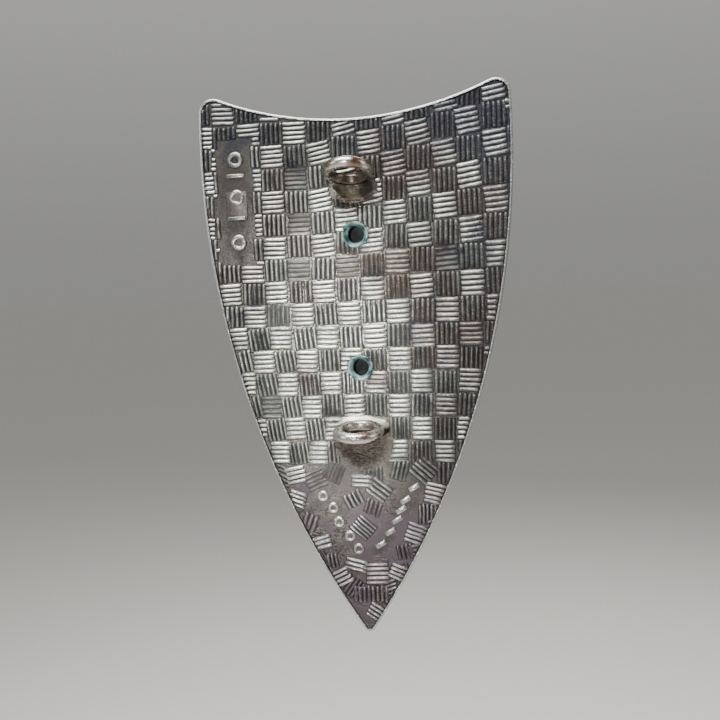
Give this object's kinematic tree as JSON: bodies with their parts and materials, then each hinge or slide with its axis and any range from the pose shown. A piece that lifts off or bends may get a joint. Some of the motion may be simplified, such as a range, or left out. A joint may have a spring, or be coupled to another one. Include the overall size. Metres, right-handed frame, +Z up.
{
  "type": "cap badge",
  "caption": "Shield cap badge with a woven-pattern back, enamelled front fields, a riveted roundel and two soldered wire loops for a split pin.",
  "frame": {"origin": "on the axis of the pin that runs through both loops, midway between the loops' feet", "axes": "+Z up the badge along the pin's axis, the front towards -Y, the back and its loops towards +Y, X across the badge"},
  "size_m": [0.0256, 0.0071, 0.045],
  "materials": {
    "silvered_tombac": "silvered brass, tarnished grey and brown, worn bright on the raised ribs",
    "blue_enamel": "fired glass enamel, deep blue",
    "ivory_enamel": "fired glass enamel, ivory",
    "crimson_enamel": "fired glass enamel, crimson",
    "gilt_tombac": "gilt brass, worn",
    "verdigris_tube": "copper-alloy tube with blue-green verdigris",
    "silvered_wire": "polished silvered brass wire, copper showing where it has worn",
    "soft_solder": "grey soft solder, brushed"
  },
  "bodies": {
    "root": {"shield_plate": "silvered_tombac", "enamel_upper_left": "blue_enamel", "enamel_upper_right": "ivory_enamel", "enamel_lower_left": "ivory_enamel", "enamel_lower_right": "blue_enamel", "front_roundel": "gilt_tombac", "enamel_boss": "crimson_enamel", "upper_rivet": "verdigris_tube", "lower_rivet": "verdigris_tube", "upper_loop": "silvered_wire", "lower_loop": "silvered_wire", "upper_loop_solder": "soft_solder", "lower_loop_solder": "soft_solder"}
  },
  "joints": []
}
